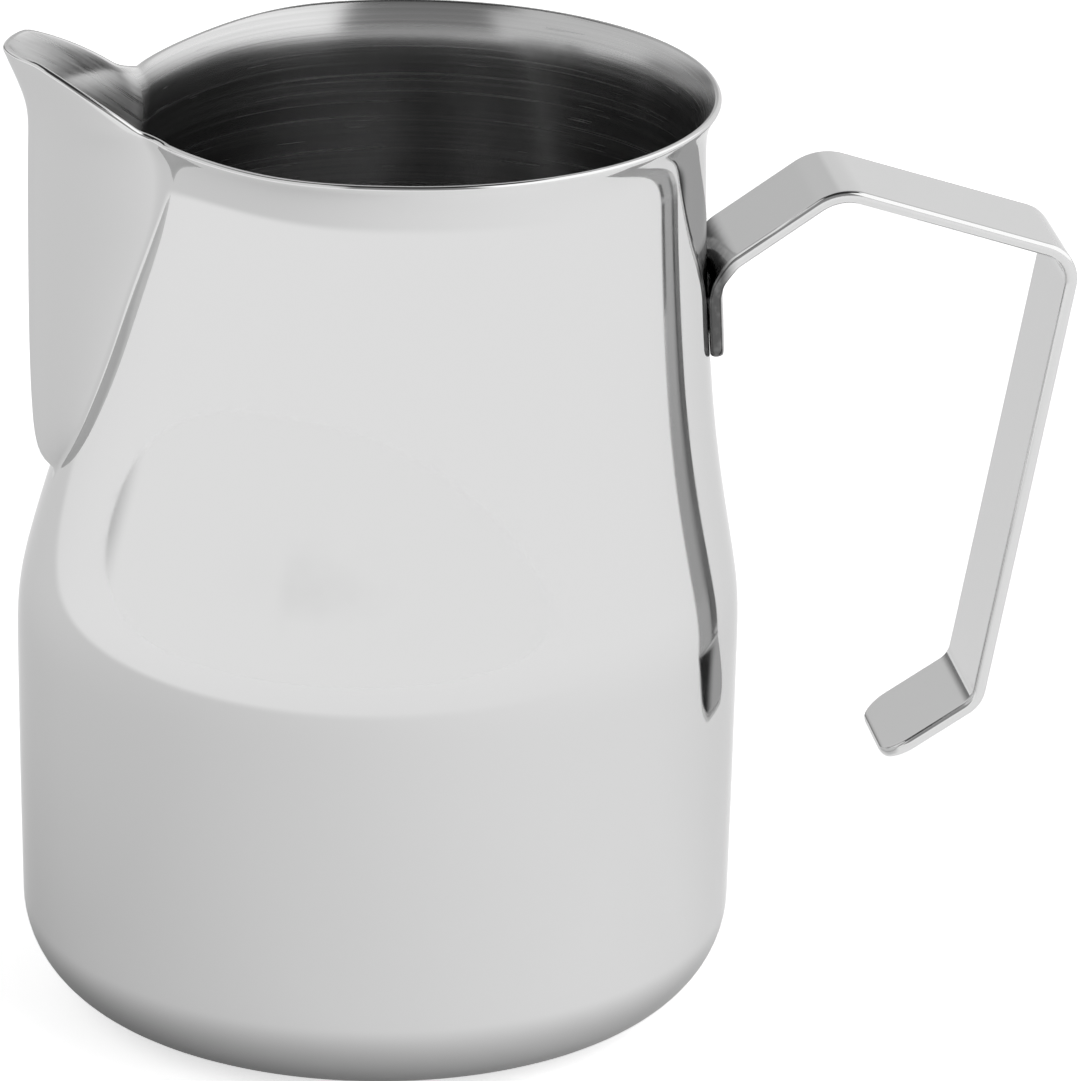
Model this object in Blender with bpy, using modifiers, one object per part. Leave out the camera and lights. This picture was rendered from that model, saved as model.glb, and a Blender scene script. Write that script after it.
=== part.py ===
"""Milk frothing pitcher: a bpy script, in metres, +Z up.

The origin is the centre of the face that the base rests on. The handle is on +X and the spout on -X.
The body is one drawn steel shell: a round belly, and a neck and mouth set back towards the handle,
with a spout pressed out of the neck. The handle is one strip bent along a path of straight runs and
arcs. Its foot follows the neck's curve, and two spot welds hold it there. Nothing moves.
"""

import math

import bmesh
import bpy
import numpy as np
from mathutils import Matrix, Vector

# Lengths are in millimetres down to the mesh code, which turns them into metres.
MM = 0.001

# Body. Radii are of the outer surface, and heights are above the resting face.
WALL_THICKNESS = 0.9
RIM_Z = 114.5
BASE_RING_STEPS = 2
CORNER_IN = 12.8
CORNER_UP = 12.5
CORNER_STEPS = 6
WALL_OUTLINE = (  # height, radius
    (CORNER_UP, 43.45),
    (30.0, 43.8),
    (44.0, 44.0),
    (52.0, 43.8),
    (58.0, 42.75),
    (66.0, 40.95),
    (76.0, 38.85),
    (88.0, 36.95),
    (100.0, 35.85),
    (107.0, 35.58),
    (110.3, 35.68),
    (112.5, 36.3),
    (RIM_Z, 37.45),
)
# The neck's centre line moves towards the handle between these heights.
NECK_SHIFT = 3.5
NECK_SHIFT_FROM_Z = 42.0
NECK_SHIFT_TO_Z = 112.0
# Beside the spout the neck is set in towards the rim, from this angle to this one off -X.
DRAWN_IN = 1.5
DRAWN_IN_FROM_Z = 86.0
DRAWN_IN_FROM_ANGLE = math.radians(80)
DRAWN_IN_TO_ANGLE = math.radians(30)

# Spout: where its nose and its two seams with the round wall run.
NOTCH_Z = 68.0
NOSE_OUTLINE = (  # height, distance of the nose from the body's axis
    (NOTCH_Z, 39.5),
    (69.5, 40.85),
    (72.0, 41.85),
    (76.0, 42.3),
    (84.0, 42.6),
    (96.0, 42.7),
    (110.0, 42.65),
    (114.5, 42.9),
    (118.0, 44.1),
    (121.5, 45.6),
)
SEAM_OUTLINE = (  # height, half of the distance between the two seams
    (NOTCH_Z, 0.8),
    (72.0, 3.9),
    (78.0, 6.5),
    (87.0, 8.9),
    (97.0, 11.2),
    (107.0, 13.4),
    (RIM_Z, 13.9),
    (121.5, 14.0),
)
SECTION_POWER = 1.7  # 2 would make the spout's section half an ellipse, and 1 a plain V
SPOUT_BLEND = 1.0  # the nose stands this far out where the section is the spout's own
SLIGHTEST_DEPTH = 0.001
SEAM_SPREAD_HEIGHT = 30.0  # under the notch, the columns take this height to space out evenly
SEAM_ROUNDING = 1.0
SEAM_ROUNDING_AT_RIM = 2.3
SEAM_WIDENS_FROM_Z = 100.0
SEAM_MOST_REACH = 0.3
SEAM_RIM_Z = 114.25  # height of the rim where the spout's lip starts
LIP_RISE = 7.6
LIP_SLOPE_RISE = 9.4  # how far the lip's straight flanks would rise by the tip
LIP_ROUNDING = 0.3
RIM_DIP = 0.75  # the rim is this much lower beside the spout than at the handle
RIM_DIP_LENGTH = 26.0

# Body mesh: columns from the nose to the handle on one side, and the heights of its rings.
FLANK_STEPS = 6
SEAM_STEPS = 2
NECK_STEPS = 19
RING_LEVELS = (
    *(22, 33, 44, 49, 53, 57, 61, 65, 67, 68, 69, 70.5, 72.5, 75.5, 80, 86, 93, 100, 106),
    *(108.2, 110.4, 112.5, RIM_Z),
)
MOUTH_FROM_Z = 106.0  # above this, each column is stretched to end at its own rim height

# Handle. The path lies halfway through the strip's thickness, and each corner has an arc.
STRIP_WIDTH = 16.5
STRIP_THICKNESS = 1.6
STRIP_COLUMNS = 8
FOOT_GAP = 0.4
DISH_FROM = 7.0  # the foot follows the neck's curve up to here along the strip, and less up to there
DISH_TO = 12.0
FOOT_END_Z = 81.9
FOOT_BEND_Z = 93.1
CREST = (54.7, 102.65)
SHOULDER = (84.0, 93.3)
HEEL = (73.45, 35.95)
TAIL_LENGTH = 13.5
TAIL_SLOPE_DEGREES = 32.2
BEND_RADII = (4.0, 6.3, 4.1, 3.6)  # at the foot, the crest, the shoulder and the heel
BEND_STEPS = 6
FOOT_CORNER = 1.8
TAIL_CORNER = 4.0
CORNER_ROWS = 4
EDGE_ROUNDING = 0.4

# Spot welds, side by side between the neck and the handle's foot.
WELD_RADIUS = 2.2
WELD_THICKNESS = 0.16
WELD_Z = 86.2
WELD_OFFSET = 4.0


def clear_scene():
    for obj in list(bpy.data.objects):
        bpy.data.objects.remove(obj)


def ease(t):
    """Goes smoothly from 0 to 1 as t does, and stays there outside."""
    t = min(max(t, 0.0), 1.0)
    return t * t * (3 - 2 * t)


def smooth_minimum(a, b, rounding):
    return (a + b - math.hypot(a - b, rounding)) / 2


def spline(points):
    """The natural cubic spline through (x, y) points, as a function of x."""
    xs, ys = np.array(points, float).T
    gaps = np.diff(xs)
    slopes = np.diff(ys) / gaps
    rows = np.eye(len(xs))
    turns = np.zeros(len(xs))
    for i in range(1, len(xs) - 1):
        rows[i, i - 1 : i + 2] = gaps[i - 1], 2 * (gaps[i - 1] + gaps[i]), gaps[i]
        turns[i] = 6 * (slopes[i] - slopes[i - 1])
    bends = np.linalg.solve(rows, turns)

    def value(x):
        i = int(np.clip(np.searchsorted(xs, x) - 1, 0, len(gaps) - 1))
        gap, before, after = gaps[i], x - xs[i], xs[i + 1] - x
        curve = (bends[i] * after**3 + bends[i + 1] * before**3) / (6 * gap)
        left = (ys[i] / gap - bends[i] * gap / 6) * after
        right = (ys[i + 1] / gap - bends[i + 1] * gap / 6) * before
        return float(curve + left + right)

    return value


wall_spline = spline(WALL_OUTLINE)
nose_spline = spline(NOSE_OUTLINE)
seam_spline = spline(SEAM_OUTLINE)


def wall_radius(z):
    """Outer radius of the round wall. Above the rim, where only the lip is, it stays the rim's."""
    if z < CORNER_UP:
        height = 1 - z / CORNER_UP
        return WALL_OUTLINE[0][1] - CORNER_IN * (1 - math.sqrt(1 - height**2))
    return wall_spline(min(z, RIM_Z))


def neck_centre(z):
    return NECK_SHIFT * ease((z - NECK_SHIFT_FROM_Z) / (NECK_SHIFT_TO_Z - NECK_SHIFT_FROM_Z))


def handle_side_x(z):
    """Where the wall's outer surface crosses the XZ plane, under the handle."""
    return neck_centre(z) + wall_radius(z)


def drawn_radius(angle, z):
    """Outer radius of the round wall at this angle from -X, set in beside the spout."""
    turn = (DRAWN_IN_FROM_ANGLE - angle) / (DRAWN_IN_FROM_ANGLE - DRAWN_IN_TO_ANGLE)
    height = (z - DRAWN_IN_FROM_Z) / (RIM_Z - DRAWN_IN_FROM_Z)
    return wall_radius(z) - DRAWN_IN * ease(turn) * ease(height)


def seam_angle(z):
    """The angle from -X, about the neck's centre, at which the spout leaves the round wall."""
    at_notch = math.asin(seam_spline(NOTCH_Z) / wall_radius(NOTCH_Z))
    if z > NOTCH_Z:
        return math.asin(seam_spline(z) / drawn_radius(0.0, z))
    even = math.pi * FLANK_STEPS / (FLANK_STEPS + SEAM_STEPS + NECK_STEPS)
    return at_notch + (even - at_notch) * ease((NOTCH_Z - z) / SEAM_SPREAD_HEIGHT)


def neck_point(angle, z):
    radius = drawn_radius(angle, z)
    return Vector((neck_centre(z) - radius * math.cos(angle), radius * math.sin(angle), z))


def flank_point(reach, z):
    """The spout's outer surface at height z, from its seam at reach = 0 to its nose at reach = 1."""
    seam = seam_angle(z)
    across = (1 - reach**SECTION_POWER) ** (1 / SECTION_POWER)
    on_wall = neck_point(across * seam, z)
    stands_out = nose_spline(z) + neck_point(0.0, z).x if z > NOTCH_Z else 0.0
    at_seam = neck_point(seam, z)
    depth = at_seam.x + nose_spline(z)
    on_spout = Vector((at_seam.x - depth * reach, at_seam.y * across, z))
    return on_wall.lerp(on_spout, ease(stands_out / SPOUT_BLEND))


def rim_height(reach):
    """Height of the lip at this reach along the spout."""
    return SEAM_RIM_Z + smooth_minimum(LIP_SLOPE_RISE * reach, LIP_RISE, LIP_ROUNDING)


def neck_rim_height(angle):
    """The rim is level round the mouth, and dips a little beside the spout."""
    return RIM_Z - RIM_DIP * ease(-neck_point(angle, RIM_Z).x / RIM_DIP_LENGTH)


def stretched(level, rim_z):
    """A level's height where the rim is at rim_z: under the mouth all columns are level."""
    if level <= MOUTH_FROM_Z:
        return level
    return MOUTH_FROM_Z + (rim_z - MOUTH_FROM_Z) * (level - MOUTH_FROM_Z) / (RIM_Z - MOUTH_FROM_Z)


def seam_rounding(level):
    """How far the rounded seam reaches to each side of the sharp one."""
    share = ease((level - SEAM_WIDENS_FROM_Z) / (RIM_Z - SEAM_WIDENS_FROM_Z))
    return SEAM_ROUNDING + (SEAM_ROUNDING_AT_RIM - SEAM_ROUNDING) * share


def outline(level, flank_steps, seam_steps, neck_steps):
    """One side of the outer surface at a level, as points from the spout's nose to the handle's side."""

    def flank(reach):
        return flank_point(reach, stretched(level, rim_height(reach)))

    def neck(angle):
        return neck_point(angle, stretched(level, neck_rim_height(angle)))

    sharp = flank(0.0)
    depth = max((sharp - flank(1.0)).length, SLIGHTEST_DEPTH)
    first_reach = min(seam_rounding(level) / depth, SEAM_MOST_REACH)
    seam = seam_angle(level)
    last_angle = seam + seam_rounding(level) / drawn_radius(0.0, level)
    points = []
    first_turn = math.acos(first_reach ** (SECTION_POWER / 2))
    for step in range(flank_steps):
        points.append(flank(math.cos(first_turn * step / flank_steps) ** (2 / SECTION_POWER)))
    start, end = flank(first_reach), neck(last_angle)
    for step in range(seam_steps):
        t = step / seam_steps
        points.append(start * (1 - t) ** 2 + sharp * 2 * t * (1 - t) + end * t**2)
    for step in range(neck_steps + 1):
        points.append(neck(last_angle + (math.pi - last_angle) * step / neck_steps))
    return points


def ring_at(level):
    """One closed ring of the outer surface, from the nose round by +Y and back by -Y."""
    side = outline(level, FLANK_STEPS, SEAM_STEPS, NECK_STEPS)
    mirrored = [Vector((point.x, -point.y, point.z)) for point in side[-2:0:-1]]
    return [point * MM for point in side + mirrored]


def body_rings():
    """Rings from the middle of the base, round the corner, up the wall and out to the rim."""
    base_edge = ring_at(0.0)
    rings = [[point * step / BASE_RING_STEPS for point in base_edge] for step in range(1, BASE_RING_STEPS)]
    turns = [step / CORNER_STEPS * math.pi / 2 for step in range(CORNER_STEPS + 1)]
    rings += [ring_at(CORNER_UP * (1 - math.cos(turn))) for turn in turns]
    rings += [ring_at(level) for level in RING_LEVELS]
    return rings


def loft(rings):
    """A mesh through rings that all have the same number of points, closed by a point at the origin."""
    sheet = bmesh.new()
    rows = [[sheet.verts.new(point) for point in ring] for ring in rings]
    middle = sheet.verts.new((0, 0, 0))
    for i, vert in enumerate(rows[0]):
        sheet.faces.new((middle, rows[0][i - 1], vert))
    for lower, upper in zip(rows, rows[1:]):
        for i, vert in enumerate(lower):
            sheet.faces.new((vert, lower[i - 1], upper[i - 1], upper[i]))
    mesh = bpy.data.meshes.new("sheet")
    sheet.to_mesh(mesh)
    sheet.free()
    return mesh


def steel(name, color, roughness):
    material = bpy.data.materials.new(name)
    material.use_nodes = True
    shader = material.node_tree.nodes["Principled BSDF"]
    shader.inputs["Base Color"].default_value = (*color, 1)
    shader.inputs["Metallic"].default_value = 1.0
    shader.inputs["Roughness"].default_value = roughness
    return material


def add_part(collection, name, mesh, material):
    mesh.name = name
    obj = bpy.data.objects.new(name, mesh)
    mesh.materials.append(material)
    mesh.shade_smooth()
    mesh.set_sharp_from_angle(angle=math.radians(40))
    collection.objects.link(obj)
    return obj


def thicken(obj, thickness, offset):
    shell = obj.modifiers.new("Thickness", "SOLIDIFY")
    shell.thickness = thickness * MM
    shell.offset = offset
    shell.use_even_offset = True
    shell.use_quality_normals = True


def add_body(collection):
    body = add_part(
        collection,
        "pitcher_body",
        loft(body_rings()),
        steel("polished_steel", (0.78, 0.78, 0.77), 0.06),
    )
    thicken(body, WALL_THICKNESS, -1)
    return body


def handle_knees():
    """The corners of the handle's path, as (x, z), from the foot's end to the tail's."""
    clear = FOOT_GAP + STRIP_THICKNESS / 2
    slope = math.radians(TAIL_SLOPE_DEGREES)
    return (
        Vector((handle_side_x(FOOT_END_Z) + clear, FOOT_END_Z)),
        Vector((handle_side_x(FOOT_BEND_Z) + clear, FOOT_BEND_Z)),
        Vector(CREST),
        Vector(SHOULDER),
        Vector(HEEL),
        Vector(HEEL) - TAIL_LENGTH * Vector((math.cos(slope), math.sin(slope))),
    )


def rounded_path(knees, radii):
    """(point, normal) pairs along straight runs joined by arcs. The normal is the path's left side."""
    path = []
    for before, knee, after, radius in zip(knees, knees[1:], knees[2:], radii):
        into, out = (knee - before).normalized(), (after - knee).normalized()
        turn = into.angle_signed(out)
        side = math.copysign(1, turn)
        left = Vector((-into.y, into.x))
        start = knee - into * radius * math.tan(abs(turn) / 2)
        centre = start - left * radius * side
        for step in range(BEND_STEPS + 1):
            angle = -turn * step / BEND_STEPS
            spoke = Matrix.Rotation(angle, 2) @ left
            path.append((centre + spoke * radius * side, spoke))
    ends = []
    for end, other in ((knees[0], knees[1]), (knees[-1], knees[-2])):
        run = (other - end).normalized() * (1 if end is knees[0] else -1)
        ends.append((end, Vector((-run.y, run.x))))
    return [ends[0], *path, ends[1]]


def strip_half_width(from_foot, from_tail):
    """Half of the strip's width, less towards its two ends, whose corners are rounded."""
    half = STRIP_WIDTH / 2
    for distance, radius in ((from_foot, FOOT_CORNER), (from_tail, TAIL_CORNER)):
        if distance < radius:
            half = min(half, STRIP_WIDTH / 2 - radius + math.sqrt(radius**2 - (radius - distance) ** 2))
    return half


def with_corner_rows(path):
    """The path with extra rows near each end, where the strip's corners are rounded."""
    rows = list(path)
    for end, inner, radius in ((0, 1, FOOT_CORNER), (-1, -2, TAIL_CORNER)):
        point, normal = path[end]
        run = (path[inner][0] - point).normalized()
        turns = [step / CORNER_ROWS * math.pi / 2 for step in range(1, CORNER_ROWS + 1)]
        extra = [(point + run * radius * (1 - math.cos(turn)), normal) for turn in turns]
        rows[1:1] = extra if end == 0 else []
        rows[-1:-1] = extra[::-1] if end == -1 else []
    return rows


def strip_mesh():
    """The strip's middle surface: rows along its path, each dished to the neck's curve at the foot."""
    rows = with_corner_rows(rounded_path(handle_knees(), BEND_RADII))
    lengths = [0.0]
    for (a, _), (b, _) in zip(rows, rows[1:]):
        lengths.append(lengths[-1] + (b - a).length)
    sheet = bmesh.new()
    grid = []
    for (point, normal), length in zip(rows, lengths):
        half = strip_half_width(length, lengths[-1] - length)
        dish = 1 - ease((length - DISH_FROM) / (DISH_TO - DISH_FROM))
        radius = wall_radius(min(point.y, FOOT_BEND_Z)) + FOOT_GAP + STRIP_THICKNESS / 2
        line = []
        for column in range(STRIP_COLUMNS + 1):
            y = half * (2 * column / STRIP_COLUMNS - 1)
            back = normal * dish * (radius - math.sqrt(radius**2 - y**2))
            line.append(sheet.verts.new(Vector((point.x + back.x, y, point.y + back.y)) * MM))
        grid.append(line)
    for row, following in zip(grid, grid[1:]):
        for i in range(STRIP_COLUMNS):
            sheet.faces.new((row[i], row[i + 1], following[i + 1], following[i]))
    bmesh.ops.recalc_face_normals(sheet, faces=sheet.faces)
    mesh = bpy.data.meshes.new("strip")
    sheet.to_mesh(mesh)
    sheet.free()
    return mesh


def add_handle(collection):
    handle = add_part(
        collection, "handle", strip_mesh(), steel("handle_steel", (0.74, 0.74, 0.73), 0.12)
    )
    thicken(handle, STRIP_THICKNESS, 0)
    rounding = handle.modifiers.new("Edges", "BEVEL")
    rounding.width = EDGE_ROUNDING * MM
    rounding.segments = 2
    rounding.limit_method = "ANGLE"
    rounding.angle_limit = math.radians(60)
    return handle


def add_spot_weld(collection, name, y, material):
    """A thin disc in the gap between the neck and the foot, square to the wall there."""
    radius = wall_radius(WELD_Z)
    turn = math.asin(y / radius)
    reach = radius + FOOT_GAP / 2
    lean = math.atan((handle_side_x(FOOT_END_Z) - handle_side_x(FOOT_BEND_Z)) / (FOOT_BEND_Z - FOOT_END_Z))
    disc = bmesh.new()
    bmesh.ops.create_cone(
        disc,
        cap_ends=True,
        segments=24,
        radius1=WELD_RADIUS * MM,
        radius2=WELD_RADIUS * MM,
        depth=WELD_THICKNESS * MM,
    )
    mesh = bpy.data.meshes.new(name)
    disc.to_mesh(mesh)
    disc.free()
    weld = add_part(collection, name, mesh, material)
    weld.location = Vector((neck_centre(WELD_Z) + reach * math.cos(turn), reach * math.sin(turn), WELD_Z)) * MM
    weld.rotation_euler = (0, math.pi / 2 - lean, turn)
    return weld


def main():
    clear_scene()
    pitcher = bpy.data.collections.new("milk_frothing_pitcher")
    bpy.context.scene.collection.children.link(pitcher)
    add_body(pitcher)
    add_handle(pitcher)
    weld_steel = steel("weld_steel", (0.45, 0.44, 0.42), 0.45)
    add_spot_weld(pitcher, "spot_weld_left", WELD_OFFSET, weld_steel)
    add_spot_weld(pitcher, "spot_weld_right", -WELD_OFFSET, weld_steel)


main()
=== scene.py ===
"""Looks of the milk frothing pitcher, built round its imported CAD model.

The CAD body and handle are replaced by finer meshes of the same shape: the body with a soft seam, an
even wall and a rounded rim, the handle with smoother bends and rounder edges. The body repeats the
part's own outlines, because a mirror finish shows every facet. All materials are node-based steel.
"""

import math

import bpy
import numpy as np
from mathutils import Matrix, Vector


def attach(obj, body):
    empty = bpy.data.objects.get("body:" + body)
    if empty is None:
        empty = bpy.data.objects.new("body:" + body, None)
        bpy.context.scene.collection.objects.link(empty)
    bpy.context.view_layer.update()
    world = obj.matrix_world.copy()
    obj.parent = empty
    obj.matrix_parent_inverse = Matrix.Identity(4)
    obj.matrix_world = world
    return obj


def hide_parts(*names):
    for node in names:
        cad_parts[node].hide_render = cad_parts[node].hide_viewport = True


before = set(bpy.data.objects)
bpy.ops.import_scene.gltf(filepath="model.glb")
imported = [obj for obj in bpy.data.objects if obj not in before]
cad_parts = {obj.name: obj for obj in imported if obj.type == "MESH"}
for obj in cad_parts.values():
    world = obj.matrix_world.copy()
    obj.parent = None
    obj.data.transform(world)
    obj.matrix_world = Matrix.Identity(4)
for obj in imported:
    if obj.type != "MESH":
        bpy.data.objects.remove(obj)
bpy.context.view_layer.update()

# Shapes are in millimetres down to the mesh code, which turns them into metres.
MM = 0.001

# Camera, in metres and degrees. The azimuth turns from the front, -Y, towards +X.
CAMERA_AIM = (0.01994, 0.0, 0.05647)
CAMERA_DISTANCE = 1.16358
CAMERA_AZIMUTH = -8.8075
CAMERA_ELEVATION = 20.4122
CAMERA_ROLL = 0.8614
CAMERA_LENS = 316.79  # millimetres, on a sensor this wide
CAMERA_SENSOR = 36.0
CAMERA_SEES_TO = 50.0

# Body: radii of the outer surface, and heights above the face it rests on.
WALL_THICKNESS = 0.9
RIM_Z = 114.5
CORNER_IN = 12.8
CORNER_UP = 12.5
WALL_OUTLINE = (  # height, radius
    (CORNER_UP, 43.45),
    (30.0, 43.8),
    (44.0, 44.0),
    (52.0, 43.8),
    (58.0, 42.75),
    (66.0, 40.95),
    (76.0, 38.85),
    (88.0, 36.95),
    (100.0, 35.85),
    (107.0, 35.58),
    (110.3, 35.68),
    (112.5, 36.3),
    (RIM_Z, 37.45),
)
NECK_SHIFT = 3.5  # the neck's centre line moves towards the handle between two heights
NECK_SHIFT_FROM_Z = 42.0
NECK_SHIFT_TO_Z = 112.0
DRAWN_IN = 1.5  # beside the spout the mouth doesn't flare: it is drawn in
DRAWN_IN_FROM_Z = 86.0
DRAWN_IN_FROM_ANGLE = math.radians(80)
DRAWN_IN_TO_ANGLE = math.radians(30)

# Spout: where its nose and its two seams with the round wall run.
NOTCH_Z = 68.0
NOSE_OUTLINE = (  # height, distance of the nose from the body's axis
    (NOTCH_Z, 39.5),
    (69.5, 40.85),
    (72.0, 41.85),
    (76.0, 42.3),
    (84.0, 42.6),
    (96.0, 42.7),
    (110.0, 42.65),
    (114.5, 42.9),
    (118.0, 44.1),
    (121.5, 45.6),
)
SEAM_OUTLINE = (  # height, half of the distance between the two seams
    (NOTCH_Z, 0.8),
    (72.0, 3.9),
    (78.0, 6.5),
    (87.0, 8.9),
    (97.0, 11.2),
    (107.0, 13.4),
    (RIM_Z, 13.9),
    (121.5, 14.0),
)
SECTION_POWER = 1.7  # of the flank's horizontal section, where 2 is an ellipse and 1 a straight line
SPOUT_BLEND = 1.0  # a flank that stands out less than this from the wall is part wall, part spout
SLIGHTEST_DEPTH = 0.001
SEAM_SPREAD_HEIGHT = 30.0
SEAM_ROUNDING = 1.0
SEAM_ROUNDING_AT_RIM = 2.3
SEAM_WIDENS_FROM_Z = 100.0
SEAM_MOST_REACH = 0.3  # the most of a flank that its rounded seam may take

# Rim: it climbs from the seam to the spout's lip, and dips a little on the spout's side.
SEAM_RIM_Z = 114.25
LIP_RISE = 7.6
LIP_SLOPE_RISE = 9.4
LIP_ROUNDING = 0.3
RIM_DIP = 0.75
RIM_DIP_LENGTH = 26.0
MOUTH_FROM_Z = 106.0

# Body mesh: columns from the nose to the handle on one side, and rows up the wall.
FLANK_STEPS = 30
SEAM_STEPS = 10
NECK_STEPS = 80
BASE_STEPS = 10
CORNER_STEPS = 18
WALL_STEPS = 110
MOUTH_STEPS = 24
EDGE_STEPS = 8

# Steel. Pairs are (from, to). Greys and roughnesses follow a pattern between the two, and reliefs are
# depths in metres. A fineness is in cycles a metre, and a stretch is the fineness along X, Y and Z.
EDGE_TINT = 0.8  # keeps the steel from turning white where it is seen at a slant
WEAR_SPAN = (0.3, 0.7)
WEAR_FINENESS = 220.0
WAVE_FINENESS = 55.0
CLOUD_FINENESS = 30.0
CLOUD_SHARE = 0.15
# The first grey is the belly's, with its painted shade, the second the neck's.
POLISHED_GREYS = (0.665, 0.7)
POLISHED_ROUGHNESS = (0.03, 0.07)
POLISHED_RELIEF = 0.00002
BELLY_SHADE_HEIGHTS = (47.5, 58.5)  # painted shade: the belly is a little greyer than the neck, up to the shoulder
BRUSHED_GREYS = (0.43, 0.66)
BRUSHED_ROUGHNESS = (0.22, 0.36)
BRUSHED_RELIEF = 0.000006
BRUSHED_ANISOTROPY = 0.7
BRUSHED_STRETCH = (16.0, 16.0, 3400.0)
SCRATCH_STRETCH = (90.0, 90.0, 4200.0)
SCRATCH_SPAN = (0.66, 0.84)
LINES_IN_WEAR = 0.7
ROUND_THE_AXIS = 0.25  # of a turn, from the gloss's own direction
STEEL_OUTSIDE, STEEL_INSIDE, STEEL_IN_SPOUT = range(3)
SPOUT_GREYS = (0.4, 0.72)
SPOUT_ROUGHNESS = (0.25, 0.4)
SPOUT_RELIEF = 0.00001
SPOUT_STRETCH = (60.0, 60.0, 2400.0)
SPOUT_SLANT = math.radians(-38)
HANDLE_GREYS = (0.1, 0.7)  # under the painted shade on the foot, and elsewhere
HANDLE_ROUGHNESS = (0.05, 0.12)
MOTTLE_FINENESS = 900.0
MOTTLE_SHARE = 0.6
WELD_ROUGHNESS = (0.4, 0.55)

# Handle. The path lies halfway through the strip's thickness, and each corner has an arc.
STRIP_WIDTH = 16.5
STRIP_THICKNESS = 1.6
FOOT_GAP = 0.3  # a little less than the CAD model's, so that no light shows behind the foot
FOOT_PRESSED = 0.36  # the foot's long edges are this much nearer to the wall than its middle
DISH_FROM = 7.0  # the foot follows the neck's curve up to this far along the strip
DISH_TO = 12.0
FOOT_END_Z = 81.9
FOOT_BEND_Z = 93.1
CREST = (54.7, 102.65)
SHOULDER = (84.0, 93.3)
HEEL = (73.45, 35.95)
TAIL_LENGTH = 13.5
TAIL_SLOPE = math.radians(32.2)
BEND_RADII = (4.0, 6.3, 4.1, 3.6)
BEND_STEPS = 20
ACROSS_STEPS = 28
ARC_STEPS = 6
ROW_SPACING = 1.5
CLOSEST_ROWS = 0.02
FOOT_CORNER = 1.8
TAIL_CORNER = 4.0
CORNER_ROWS = 12
EDGE_ROUNDING = 0.62
FOOT_SHADE_X = (40.2, 42.6)  # painted shade: the foot is darker on its side to the wall

# Studio: brightness of the surroundings by direction. Angles are in degrees, azimuths from the front
# towards +X. The walls' brightness changes between (from, to) elevations, and each panel runs over
# (from, to) azimuths and (from, to) elevations.
HORIZON = 1.02
SKY_CHANGES = (  # elevations, brightness above them
    ((8.0, 20.0), 0.9),
    ((30.0, 60.0), 0.04),
)
PANELS = (  # azimuths, elevations, brightness
    ((23.0, 126.0), (9.0, 64.0), 1.4),
    ((-125.0, -44.0), (9.0, 42.0), 0.85),
    ((-105.0, -60.0), (40.0, 64.0), 0.85),
    ((-42.0, 20.0), (9.0, 60.0), 0.3),
    ((-185.0, -150.0), (9.0, 28.0), 0.74),
    ((175.0, 210.0), (9.0, 28.0), 0.74),
    ((150.0, 200.0), (28.0, 56.0), 0.7),
    ((-200.0, -150.0), (28.0, 56.0), 0.7),
)
PANEL_SOFTNESS = 6.0
DARK_PANEL = ((-166.0, -112.0), (-5.0, 12.0), 0.25)
DARK_PANEL_SOFTNESS = 16.0

# Floor, in metres. It glows a little, so that shadows on it stay light. In the steel's reflections it
# carries painted
# shadow: greyer near the pitcher, most towards -X and not at all towards +X, and a painted contact shadow,
# greyest round the base.
FLOOR_HALF_SIZE = 6.0
FLOOR_GLOW = 0.44
FLOOR_COLOR = 0.9
PAINTED_SHADOW_SHARE = 0.23
PAINTED_SHADOW_POWER = 1.5
PAINTED_SHADOW_CENTRE = (0.0, 0.1, 0.0)
PAINTED_SHADOW_FADES = (0.36, 0.46)
CONTACT_SHADOW_SHARE = 0.5
CONTACT_SHADOW_FADES = (0.034, 0.058)
WHITE_TO_CAMERA = 1.25


def ease(t):
    """Goes from 0 to 1 as t does, with no jump in slope or bend, and stays there outside."""
    t = np.clip(t, 0.0, 1.0)
    return t**3 * (6 * t**2 - 15 * t + 10)


def smooth_minimum(a, b, rounding):
    return (a + b - np.hypot(a - b, rounding)) / 2


def spline(points):
    """The natural cubic spline through (x, y) points, as a function of an array of x."""
    xs, ys = np.array(points, float).T
    gaps = np.diff(xs)
    slopes = np.diff(ys) / gaps
    rows = np.eye(len(xs))
    turns = np.zeros(len(xs))
    for i in range(1, len(xs) - 1):
        rows[i, i - 1 : i + 2] = gaps[i - 1], 2 * (gaps[i - 1] + gaps[i]), gaps[i]
        turns[i] = 6 * (slopes[i] - slopes[i - 1])
    bends = np.linalg.solve(rows, turns)

    def value(x):
        i = np.clip(np.searchsorted(xs, x) - 1, 0, len(gaps) - 1)
        gap, before, after = gaps[i], x - xs[i], xs[i + 1] - x
        curve = (bends[i] * after**3 + bends[i + 1] * before**3) / (6 * gap)
        left = (ys[i] / gap - bends[i] * gap / 6) * after
        right = (ys[i + 1] / gap - bends[i + 1] * gap / 6) * before
        return curve + left + right

    return value


wall_spline = spline(WALL_OUTLINE)
nose_spline = spline(NOSE_OUTLINE)
seam_spline = spline(SEAM_OUTLINE)


# The body's outer surface.
def wall_radius(z):
    height = 1 - np.minimum(z, CORNER_UP) / CORNER_UP
    corner = CORNER_IN * (1 - np.sqrt(1 - height**2))
    return wall_spline(np.clip(z, CORNER_UP, RIM_Z)) - corner


def neck_centre(z):
    return NECK_SHIFT * ease((z - NECK_SHIFT_FROM_Z) / (NECK_SHIFT_TO_Z - NECK_SHIFT_FROM_Z))


def drawn_radius(angle, z):
    """The round wall's radius at an angle from -X, drawn in beside the spout."""
    turn = (DRAWN_IN_FROM_ANGLE - angle) / (DRAWN_IN_FROM_ANGLE - DRAWN_IN_TO_ANGLE)
    height = (z - DRAWN_IN_FROM_Z) / (RIM_Z - DRAWN_IN_FROM_Z)
    return wall_radius(z) - DRAWN_IN * ease(turn) * ease(height)


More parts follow.
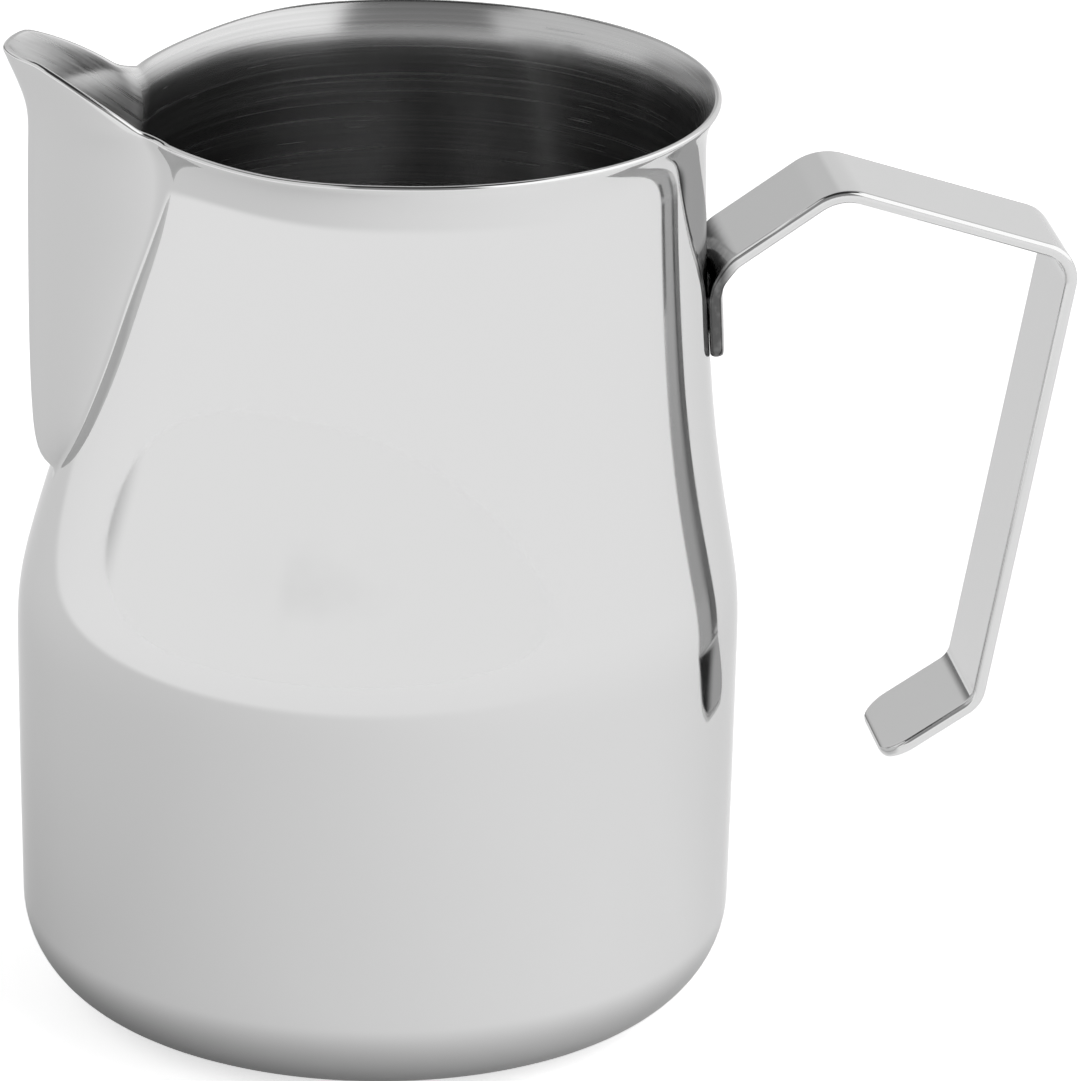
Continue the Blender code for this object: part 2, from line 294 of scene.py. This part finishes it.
def seam_angle(z):
    """The angle from -X, about the neck's centre, at which the spout leaves the round wall."""
    at_notch = math.asin(seam_spline(NOTCH_Z) / wall_radius(NOTCH_Z))
    on_spout = np.maximum(z, NOTCH_Z)
    above = np.arcsin(seam_spline(on_spout) / drawn_radius(0.0, on_spout))
    even = math.pi * FLANK_STEPS / (FLANK_STEPS + SEAM_STEPS + NECK_STEPS)
    below = at_notch + (even - at_notch) * ease((NOTCH_Z - z) / SEAM_SPREAD_HEIGHT)
    return np.where(z > NOTCH_Z, above, below)


def neck_point(angle, z):
    radius = drawn_radius(angle, z)
    return np.stack([neck_centre(z) - radius * np.cos(angle), radius * np.sin(angle), z + 0 * angle], -1)


def flank_point(reach, z):
    """The spout's outer surface at height z, from its seam at reach = 0 to its nose at reach = 1."""
    seam = seam_angle(z)
    across = (1 - reach**SECTION_POWER) ** (1 / SECTION_POWER)
    on_wall = neck_point(across * seam, z)
    nose = nose_spline(np.maximum(z, NOTCH_Z))
    stands_out = np.where(z > NOTCH_Z, nose + neck_point(0.0 * z, z)[..., 0], 0.0)
    at_seam = neck_point(seam, z)
    depth = at_seam[..., 0] + nose
    on_spout = np.stack([at_seam[..., 0] - depth * reach, at_seam[..., 1] * across, z], -1)
    return on_wall + (on_spout - on_wall) * ease(stands_out / SPOUT_BLEND)[..., None]


def lip_height(reach):
    return SEAM_RIM_Z + smooth_minimum(LIP_SLOPE_RISE * reach, LIP_RISE, LIP_ROUNDING)


def neck_rim_height(angle):
    return RIM_Z - RIM_DIP * ease(-neck_point(angle, RIM_Z + 0 * angle)[..., 0] / RIM_DIP_LENGTH)


def stretched(level, rim_z):
    """A level's height where the rim is at rim_z: under the mouth all columns are level."""
    share = max(level - MOUTH_FROM_Z, 0) / (RIM_Z - MOUTH_FROM_Z)
    return min(level, MOUTH_FROM_Z) + (rim_z - MOUTH_FROM_Z) * share


def seam_rounding(level):
    share = ease((level - SEAM_WIDENS_FROM_Z) / (RIM_Z - SEAM_WIDENS_FROM_Z))
    return SEAM_ROUNDING + (SEAM_ROUNDING_AT_RIM - SEAM_ROUNDING) * share


def side_outline(level):
    """The outer surface at a level on the +Y side, as points from the spout's nose to the handle."""

    def flank(reach):
        return flank_point(reach, stretched(level, lip_height(reach)))

    def neck(angle):
        return neck_point(angle, stretched(level, neck_rim_height(angle)))

    sharp, nose = flank(np.array([0.0, 1.0]))
    depth = max(np.linalg.norm(sharp - nose), SLIGHTEST_DEPTH)
    first_reach = min(seam_rounding(level) / depth, SEAM_MOST_REACH)
    last_angle = seam_angle(level) + seam_rounding(level) / drawn_radius(0.0, level)
    turns = math.acos(first_reach ** (SECTION_POWER / 2)) * np.arange(FLANK_STEPS) / FLANK_STEPS
    on_flank = flank(np.cos(turns) ** (2 / SECTION_POWER))
    t = (np.arange(SEAM_STEPS) / SEAM_STEPS)[:, None]
    start, end = flank(np.array([first_reach])), neck(np.array([last_angle]))
    on_seam = start * (1 - t) ** 2 + sharp * 2 * t * (1 - t) + end * t**2
    on_neck = neck(np.linspace(last_angle, math.pi, NECK_STEPS + 1))
    return np.concatenate([on_flank, on_seam, on_neck])


def levels():
    """Heights of the mesh rows. The last gap leaves room for the rounded edge."""
    turns = np.arange(CORNER_STEPS) / CORNER_STEPS * math.pi / 2
    corner = CORNER_UP * (1 - np.cos(turns))
    wall = np.linspace(CORNER_UP, MOUTH_FROM_Z, WALL_STEPS, endpoint=False)
    mouth = np.linspace(MOUTH_FROM_Z, RIM_Z - WALL_THICKNESS, MOUTH_STEPS + 1)
    return np.concatenate([corner, wall, mouth, [RIM_Z]])


def outer_grid():
    """Points of the outer surface by row and column, round by +Y and back by -Y, base first."""
    sides = np.array([side_outline(level) for level in levels()])
    rings = np.concatenate([sides, sides[:, -2:0:-1] * (1, -1, 1)], axis=1)
    shares = (np.arange(1, BASE_STEPS) / BASE_STEPS)[:, None, None]
    return np.concatenate([rings[:1] * shares, rings])


def grid_normals(grid):
    """Outward normals of a grid whose columns close on themselves."""
    along = np.roll(grid, -1, axis=1) - np.roll(grid, 1, axis=1)
    up = np.gradient(grid, axis=0)
    normals = np.cross(up, along)
    return normals / np.linalg.norm(normals, axis=-1, keepdims=True)


def ring_mesh(name, rings):
    """A closed mesh through rings of points. A middle point closes the first ring and the last."""
    rows, columns = rings.shape[:2]
    points = np.concatenate([rings.reshape(-1, 3), rings[:1].mean(1), rings[-1:].mean(1)])
    first, last = rows * columns, rows * columns + 1
    faces = []
    for column in range(columns):
        after = (column + 1) % columns
        faces.append((first, column, after))
        faces.append((last, (rows - 1) * columns + after, (rows - 1) * columns + column))
        for row in range(rows - 1):
            low, high = row * columns, (row + 1) * columns
            faces.append((low + column, high + column, high + after, low + after))
    mesh = bpy.data.meshes.new(name)
    mesh.from_pydata((points * MM).tolist(), [], faces)
    mesh.shade_smooth()
    return mesh


def body_mesh():
    """The shell: outer surface, rounded edge, inner surface. Also gives the outer surface's row count."""
    outer = outer_grid()
    half = WALL_THICKNESS / 2
    up = outer[-1] - outer[-2]
    up /= np.linalg.norm(up, axis=-1, keepdims=True)
    outer[-1] -= up * half
    normals = grid_normals(outer)
    inner = outer - normals * WALL_THICKNESS
    middle = outer[-1] - normals[-1] * half
    edge = []
    for step in range(1, EDGE_STEPS):
        turn = math.pi * step / EDGE_STEPS
        edge.append(middle + normals[-1] * half * math.cos(turn) + up * half * math.sin(turn))
    return ring_mesh("body", np.concatenate([outer, edge, inner[::-1]])), len(outer)


# Node helpers.
def node_tree(owner):
    """The emptied node tree of a material or a world."""
    owner.use_nodes = True
    owner.node_tree.nodes.clear()
    return owner.node_tree


def add_node(tree, kind, inputs=(), **settings):
    """A node with these settings. Each input, by name or number, is linked to a socket or set to a value."""
    node = tree.nodes.new(kind)
    for name, value in settings.items():
        setattr(node, name, value)
    for name, value in dict(inputs).items():
        if isinstance(value, bpy.types.NodeSocket):
            tree.links.new(value, node.inputs[name])
        else:
            node.inputs[name].default_value = value
    return node


def math_node(tree, operation, *values):
    return add_node(tree, "ShaderNodeMath", enumerate(values), operation=operation).outputs[0]


def vector_node(tree, operation, *vectors):
    return add_node(tree, "ShaderNodeVectorMath", enumerate(vectors), operation=operation).outputs


def towards(tree, value, target, share):
    """The value, once this share of its way to the target is gone."""
    change = math_node(tree, "MULTIPLY", share, math_node(tree, "SUBTRACT", target, value))
    return math_node(tree, "ADD", value, change)


def even_step(tree, value, start, end):
    """Goes evenly from 0 to 1 as value does from start to end."""
    inputs = {"Value": value, "From Min": start, "From Max": end}
    return add_node(tree, "ShaderNodeMapRange", inputs).outputs["Result"]


def soft_step(tree, value, start, end, low=0.0, high=1.0):
    """Goes from low to high as value does from start to end, slowly at both ends."""
    inputs = {"Value": value, "From Min": start, "From Max": end, "To Min": low, "To Max": high}
    return add_node(tree, "ShaderNodeMapRange", inputs, interpolation_type="SMOOTHSTEP").outputs["Result"]


def noise(tree, vector, scale=1.0, detail=2.0, roughness=0.5):
    inputs = {"Vector": vector, "Scale": scale, "Detail": detail, "Roughness": roughness}
    return add_node(tree, "ShaderNodeTexNoise", inputs).outputs["Fac"]


def scaled(tree, vector, scale=(1.0, 1.0, 1.0), turn=(0.0, 0.0, 0.0)):
    inputs = {"Vector": vector, "Scale": scale, "Rotation": turn}
    return add_node(tree, "ShaderNodeMapping", inputs).outputs["Vector"]


def separated(tree, vector):
    return add_node(tree, "ShaderNodeSeparateXYZ", {"Vector": vector}).outputs


def steel(name, color, roughness, wear, relief, anisotropy=0.0):
    """Steel whose color, wear and relief are functions of (tree, place). Wear picks the roughness.

    With anisotropy its gloss spreads round the object's axis, as on steel that was brushed in rings.
    """
    material = bpy.data.materials.new(name)
    tree = node_tree(material)
    place = add_node(tree, "ShaderNodeTexCoord").outputs["Object"]
    height, distance = relief(tree, place)
    bump = add_node(tree, "ShaderNodeBump", {"Height": height, "Strength": 1.0, "Distance": distance})
    inputs = {
        "Metallic": 1.0,
        "Anisotropic": anisotropy,
        "Specular Tint": grey(EDGE_TINT),
        "Base Color": color(tree, place),
        "Roughness": soft_step(tree, wear(tree, place), *WEAR_SPAN, *roughness),
        "Normal": bump.outputs["Normal"],
    }
    shader = add_node(tree, "ShaderNodeBsdfPrincipled", inputs)
    if anisotropy:
        shader.inputs["Anisotropic Rotation"].default_value = ROUND_THE_AXIS
        tangent = add_node(tree, "ShaderNodeTangent", direction_type="RADIAL", axis="Z")
        tree.links.new(tangent.outputs["Tangent"], shader.inputs["Tangent"])
    output = add_node(tree, "ShaderNodeOutputMaterial")
    tree.links.new(shader.outputs["BSDF"], output.inputs["Surface"])
    return material


def grey(value):
    return (value, value, value, 1.0)


def grey_mix(tree, share, greys):
    """The first grey where share is 0, the second where it is 1."""
    inputs = {"Factor": share, "A": grey(greys[0]), "B": grey(greys[1])}
    return add_node(tree, "ShaderNodeMix", inputs, data_type="RGBA").outputs["Result"]


def polished_color(tree, place):
    """Painted shade: a little greyer on the belly than on the neck, in faint clouds."""
    neck = soft_step(tree, separated(tree, place)["Z"], *(z * MM for z in BELLY_SHADE_HEIGHTS))
    clouds = math_node(tree, "MULTIPLY", noise(tree, place, CLOUD_FINENESS), CLOUD_SHARE)
    return grey_mix(tree, math_node(tree, "ADD", clouds, neck), POLISHED_GREYS)


def strip_color(tree, place):
    """Plain steel, with painted shade in uneven spots on the foot's side to the wall."""
    uneven = math_node(tree, "SUBTRACT", noise(tree, place, MOTTLE_FINENESS, detail=3.0), 0.5)
    mottle = math_node(tree, "MULTIPLY", uneven, MOTTLE_SHARE)
    # Painted shade on the foot's side to the wall, mottled.
    unshaded = soft_step(tree, separated(tree, place)["X"], *(edge * MM for edge in FOOT_SHADE_X))
    spotted = math_node(tree, "MULTIPLY", math_node(tree, "SUBTRACT", 1.0, unshaded), mottle)
    return grey_mix(tree, math_node(tree, "ADD", unshaded, spotted), HANDLE_GREYS)


def polished_wear(tree, place):
    return noise(tree, place, WEAR_FINENESS, detail=4.0)


def polished_relief(tree, place):
    return noise(tree, place, WAVE_FINENESS, detail=1.0), POLISHED_RELIEF


def brushed_lines(tree, place):
    """Lines round the object, fine across and long along."""
    return noise(tree, scaled(tree, place, BRUSHED_STRETCH), roughness=0.6)


def scratches(tree, place):
    """A few long thin lines, 1 on them and 0 elsewhere."""
    lines = noise(tree, scaled(tree, place, SCRATCH_STRETCH), detail=1.0)
    return soft_step(tree, lines, *SCRATCH_SPAN)


def brushed_color(tree, place):
    return grey_mix(tree, brushed_lines(tree, place), BRUSHED_GREYS)


def brushed_wear(tree, place):
    even = math_node(tree, "MULTIPLY", brushed_lines(tree, place), LINES_IN_WEAR)
    return math_node(tree, "MAXIMUM", even, scratches(tree, place))


def brushed_relief(tree, place):
    return brushed_lines(tree, place), BRUSHED_RELIEF


def slanted_lines(tree, place):
    """Lines that run down the spout's inside."""
    turned = scaled(tree, place, turn=(0.0, SPOUT_SLANT, 0.0))
    return noise(tree, scaled(tree, turned, SPOUT_STRETCH), detail=3.0, roughness=0.7)


def slanted_color(tree, place):
    return grey_mix(tree, slanted_lines(tree, place), SPOUT_GREYS)


def slanted_relief(tree, place):
    return slanted_lines(tree, place), SPOUT_RELIEF


def body_steels():
    """The steels, in the order of STEEL_OUTSIDE, STEEL_INSIDE and STEEL_IN_SPOUT."""
    brushed = (brushed_color, BRUSHED_ROUGHNESS, brushed_wear, brushed_relief, BRUSHED_ANISOTROPY)
    return (
        steel("polished_steel", polished_color, POLISHED_ROUGHNESS, polished_wear, polished_relief),
        steel("brushed_steel", *brushed),
        steel("spout_steel", slanted_color, SPOUT_ROUGHNESS, slanted_lines, slanted_relief),
    )


def show(name, mesh, materials, node):
    """Puts a piece in the scene, in the place of its CAD node."""
    obj = bpy.data.objects.new(name, mesh)
    for material in materials:
        mesh.materials.append(material)
    bpy.context.scene.collection.objects.link(obj)
    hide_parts(node)
    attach(obj, "root")


def add_body():
    mesh, outer_rows = body_mesh()
    show("pitcher_shell", mesh, body_steels(), "pitcher_body")
    columns = 2 * (FLANK_STEPS + SEAM_STEPS + NECK_STEPS)
    flank_columns = FLANK_STEPS + SEAM_STEPS // 2
    inner_from = outer_rows + EDGE_STEPS // 2
    for polygon in mesh.polygons:
        row, column = divmod(min(polygon.vertices), columns)
        from_nose = min(column, columns - column)
        if row < inner_from:
            polygon.material_index = STEEL_OUTSIDE
        elif from_nose < flank_columns and polygon.center.z > NOTCH_Z * MM:
            polygon.material_index = STEEL_IN_SPOUT
        else:
            polygon.material_index = STEEL_INSIDE


# Handle.
def neck_side_x(z):
    return float(neck_centre(z) + wall_radius(z))


def handle_knees():
    """The corners of the handle's path, as (x, z), from the foot's end to the tail's."""
    clear = FOOT_GAP + STRIP_THICKNESS / 2
    return (
        Vector((neck_side_x(FOOT_END_Z) + clear, FOOT_END_Z)),
        Vector((neck_side_x(FOOT_BEND_Z) + clear, FOOT_BEND_Z)),
        Vector(CREST),
        Vector(SHOULDER),
        Vector(HEEL),
        Vector(HEEL) - TAIL_LENGTH * Vector((math.cos(TAIL_SLOPE), math.sin(TAIL_SLOPE))),
    )


def rounded_path(knees):
    """(point, normal) pairs along straight runs joined by arcs. The normal is the path's left side."""
    path = []
    for before, knee, after, radius in zip(knees, knees[1:], knees[2:], BEND_RADII):
        into, out = (knee - before).normalized(), (after - knee).normalized()
        turn = into.angle_signed(out)
        side = math.copysign(1, turn)
        left = Vector((-into.y, into.x))
        centre = knee - into * radius * math.tan(abs(turn) / 2) - left * radius * side
        for step in range(BEND_STEPS + 1):
            angle = -turn * step / BEND_STEPS
            spoke = Matrix.Rotation(angle, 2) @ left
            path.append((centre + spoke * radius * side, spoke))
    first_run = (knees[1] - knees[0]).normalized()
    last_run = (knees[-1] - knees[-2]).normalized()
    first = (knees[0], Vector((-first_run.y, first_run.x)))
    last = (knees[-1], Vector((-last_run.y, last_run.x)))
    return [first, *path, last]


def filled_path(path):
    """The path with rows along its straight runs, closer together near its ends' rounded corners.

    Each row is (point, normal, distance from the foot's end, distance from the tail's end).
    """
    lengths = np.cumsum([0.0] + [(b[0] - a[0]).length for a, b in zip(path, path[1:])])
    turns = np.linspace(0, math.pi / 2, CORNER_ROWS + 1)
    at_foot = FOOT_CORNER * (1 - np.cos(turns))
    at_tail = lengths[-1] - TAIL_CORNER * (1 - np.cos(turns))
    even = np.arange(FOOT_CORNER, lengths[-1] - TAIL_CORNER, ROW_SPACING)
    places = np.unique(np.round(np.concatenate([at_foot, even, lengths[1:-1], at_tail]), 3))
    keep = np.concatenate([[True], np.diff(places) > CLOSEST_ROWS])
    rows = []
    for place in places[keep]:
        i = min(int(np.searchsorted(lengths, place, side="right")) - 1, len(path) - 2)
        share = (place - lengths[i]) / (lengths[i + 1] - lengths[i])
        point = path[i][0].lerp(path[i + 1][0], share)
        normal = path[i][1].lerp(path[i + 1][1], share).normalized()
        rows.append((point, normal, place, lengths[-1] - place))
    return rows


def strip_half_width(from_foot, from_tail):
    half = STRIP_WIDTH / 2
    for distance, radius in ((from_foot, FOOT_CORNER), (from_tail, TAIL_CORNER)):
        if distance < radius:
            rounded = math.sqrt(radius**2 - (radius - distance) ** 2)
            half = min(half, STRIP_WIDTH / 2 - radius + rounded)
    return half


def strip_section(half_width, half_thickness):
    """A rounded rectangle as (across, through) points, with more of them near its corners."""
    rounding = min(EDGE_ROUNDING, half_width, half_thickness)
    flat, deep = half_width - rounding, half_thickness - rounding
    spread = flat * np.cos(np.arange(1, ACROSS_STEPS) / ACROSS_STEPS * math.pi)
    points = []
    for corner, (side, face) in enumerate(((1, 1), (-1, 1), (-1, -1), (1, -1))):
        for step in range(ARC_STEPS + 1):
            turn = (corner + step / ARC_STEPS) * math.pi / 2
            across = side * flat + rounding * math.cos(turn)
            points.append((across, face * deep + rounding * math.sin(turn)))
        if corner in (0, 2):
            points += [(side * place, face * half_thickness) for place in spread]
    return points


def strip_half_thickness(from_end):
    inside = EDGE_ROUNDING - min(from_end, EDGE_ROUNDING)
    return STRIP_THICKNESS / 2 - EDGE_ROUNDING + math.sqrt(EDGE_ROUNDING**2 - inside**2)


def strip_mesh():
    """The strip: a rounded section carried along its path, dished to the neck's curve at the foot."""
    rings = []
    for point, normal, from_foot, from_tail in filled_path(rounded_path(handle_knees())):
        dish = 1 - float(ease((from_foot - DISH_FROM) / (DISH_TO - DISH_FROM)))
        radius = float(wall_radius(min(point.y, FOOT_BEND_Z))) + FOOT_GAP + STRIP_THICKNESS / 2
        half_thickness = strip_half_thickness(max(min(from_foot, from_tail), 0.0))
        ring = []
        for y, through in strip_section(strip_half_width(from_foot, max(from_tail, 0.0)), half_thickness):
            curve = radius - math.sqrt(radius**2 - y**2) + FOOT_PRESSED * (2 * y / STRIP_WIDTH) ** 2
            reach = dish * curve + through
            ring.append((point.x + normal.x * reach, y, point.y + normal.y * reach))
        rings.append(ring)
    return ring_mesh("strip", np.array(rings))


def add_handle():
    material = steel("handle_steel", strip_color, HANDLE_ROUGHNESS, polished_wear, polished_relief)
    show("handle_strip", strip_mesh(), [material], "handle")


def add_welds():
    """The CAD model's weld discs stay, in a steel of their own."""
    material = steel("weld_steel", brushed_color, WELD_ROUGHNESS, polished_wear, polished_relief)
    for side in ("left", "right"):
        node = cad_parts[f"spot_weld_{side}"]
        node.data.materials.clear()
        node.data.materials.append(material)


# Studio.


def floor_color(tree):
    """White to the camera. In reflections, painted shadow: greyer near the pitcher and towards -X, and a
    painted contact shadow round the base.
    """
    place = add_node(tree, "ShaderNodeTexCoord").outputs["Object"]
    direction = vector_node(tree, "NORMALIZE", place)["Vector"]
    towards_spout = even_step(tree, separated(tree, direction)["X"], 1.0, -1.0)
    side = math_node(tree, "POWER", towards_spout, PAINTED_SHADOW_POWER)
    distance = vector_node(tree, "DISTANCE", place, PAINTED_SHADOW_CENTRE)["Value"]
    near = soft_step(tree, distance, *PAINTED_SHADOW_FADES, PAINTED_SHADOW_SHARE, 0.0)
    from_base = vector_node(tree, "LENGTH", place)["Value"]
    contact = soft_step(tree, from_base, *CONTACT_SHADOW_FADES, CONTACT_SHADOW_SHARE, 0.0)
    # Painted shadow near the pitcher and painted contact shadow round the base, seen in reflections only.
    painted_shadow = math_node(tree, "ADD", math_node(tree, "MULTIPLY", side, near), contact)
    seen = add_node(tree, "ShaderNodeLightPath").outputs["Is Camera Ray"]
    return towards(tree, math_node(tree, "SUBTRACT", 1.0, painted_shadow), WHITE_TO_CAMERA, seen)


def floor_material():
    material = bpy.data.materials.new("studio_floor")
    tree = node_tree(material)
    color = floor_color(tree)
    inputs = {
        "Base Color": math_node(tree, "MULTIPLY", color, FLOOR_COLOR),
        "Roughness": 1.0,
        "Specular IOR Level": 0.0,
        "Emission Color": color,
        "Emission Strength": FLOOR_GLOW,
    }
    shader = add_node(tree, "ShaderNodeBsdfPrincipled", inputs)
    output = add_node(tree, "ShaderNodeOutputMaterial")
    tree.links.new(shader.outputs["BSDF"], output.inputs["Surface"])
    return material


def add_floor():
    mesh = bpy.data.meshes.new("floor")
    sides = ((-1, -1), (1, -1), (1, 1), (-1, 1))
    corners = [(x * FLOOR_HALF_SIZE, y * FLOOR_HALF_SIZE, 0) for x, y in sides]
    mesh.from_pydata(corners, [], [(0, 1, 2, 3)])
    mesh.materials.append(floor_material())
    floor = bpy.data.objects.new("floor", mesh)
    bpy.context.scene.collection.objects.link(floor)


def between(tree, value, span, softness):
    """1 inside the span of degrees and 0 outside, with soft ends."""
    low, high, soft = (math.radians(angle) for angle in (*span, softness))
    rise = soft_step(tree, value, low - soft / 2, low + soft / 2)
    fall = soft_step(tree, value, high - soft / 2, high + soft / 2, 1.0, 0.0)
    return math_node(tree, "MULTIPLY", rise, fall)


def add_surroundings():
    """A white studio: walls that fade into a dark ceiling, and panels of their own brightness."""
    world = bpy.data.worlds.new("studio")
    bpy.context.scene.world = world
    tree = node_tree(world)
    direction = add_node(tree, "ShaderNodeTexCoord").outputs["Generated"]
    axes = separated(tree, direction)
    elevation = math_node(tree, "ARCSINE", axes["Z"])
    azimuth = math_node(tree, "ARCTAN2", axes["X"], math_node(tree, "MULTIPLY", axes["Y"], -1.0))
    light = HORIZON
    for elevations, brightness in SKY_CHANGES:
        low, high = (math.radians(angle) for angle in elevations)
        light = towards(tree, light, brightness, soft_step(tree, elevation, low, high))
    panels = [(*panel, PANEL_SOFTNESS) for panel in PANELS]
    panels.append((*DARK_PANEL, DARK_PANEL_SOFTNESS))
    for azimuths, elevations, brightness, softness in panels:
        across = between(tree, azimuth, azimuths, softness)
        up = between(tree, elevation, elevations, softness)
        light = towards(tree, light, brightness, math_node(tree, "MULTIPLY", across, up))
    background = add_node(tree, "ShaderNodeBackground", {"Strength": light, "Color": grey(1.0)})
    output = add_node(tree, "ShaderNodeOutputWorld")
    tree.links.new(background.outputs["Background"], output.inputs["Surface"])


def add_camera():
    data = bpy.data.cameras.new("camera")
    data.lens = CAMERA_LENS
    data.sensor_width = CAMERA_SENSOR
    data.clip_end = CAMERA_SEES_TO
    camera = bpy.data.objects.new("camera", data)
    turn = (
        Matrix.Rotation(math.radians(CAMERA_AZIMUTH), 4, "Z")
        @ Matrix.Rotation(math.radians(90 - CAMERA_ELEVATION), 4, "X")
        @ Matrix.Rotation(math.radians(CAMERA_ROLL), 4, "Z")
    )
    back = Matrix.Translation((0, 0, CAMERA_DISTANCE))
    camera.matrix_world = Matrix.Translation(CAMERA_AIM) @ turn @ back
    bpy.context.scene.collection.objects.link(camera)
    bpy.context.scene.camera = camera


add_camera()
add_floor()
add_surroundings()
add_body()
add_handle()
add_welds()
bpy.context.scene.view_settings.view_transform = "Standard"
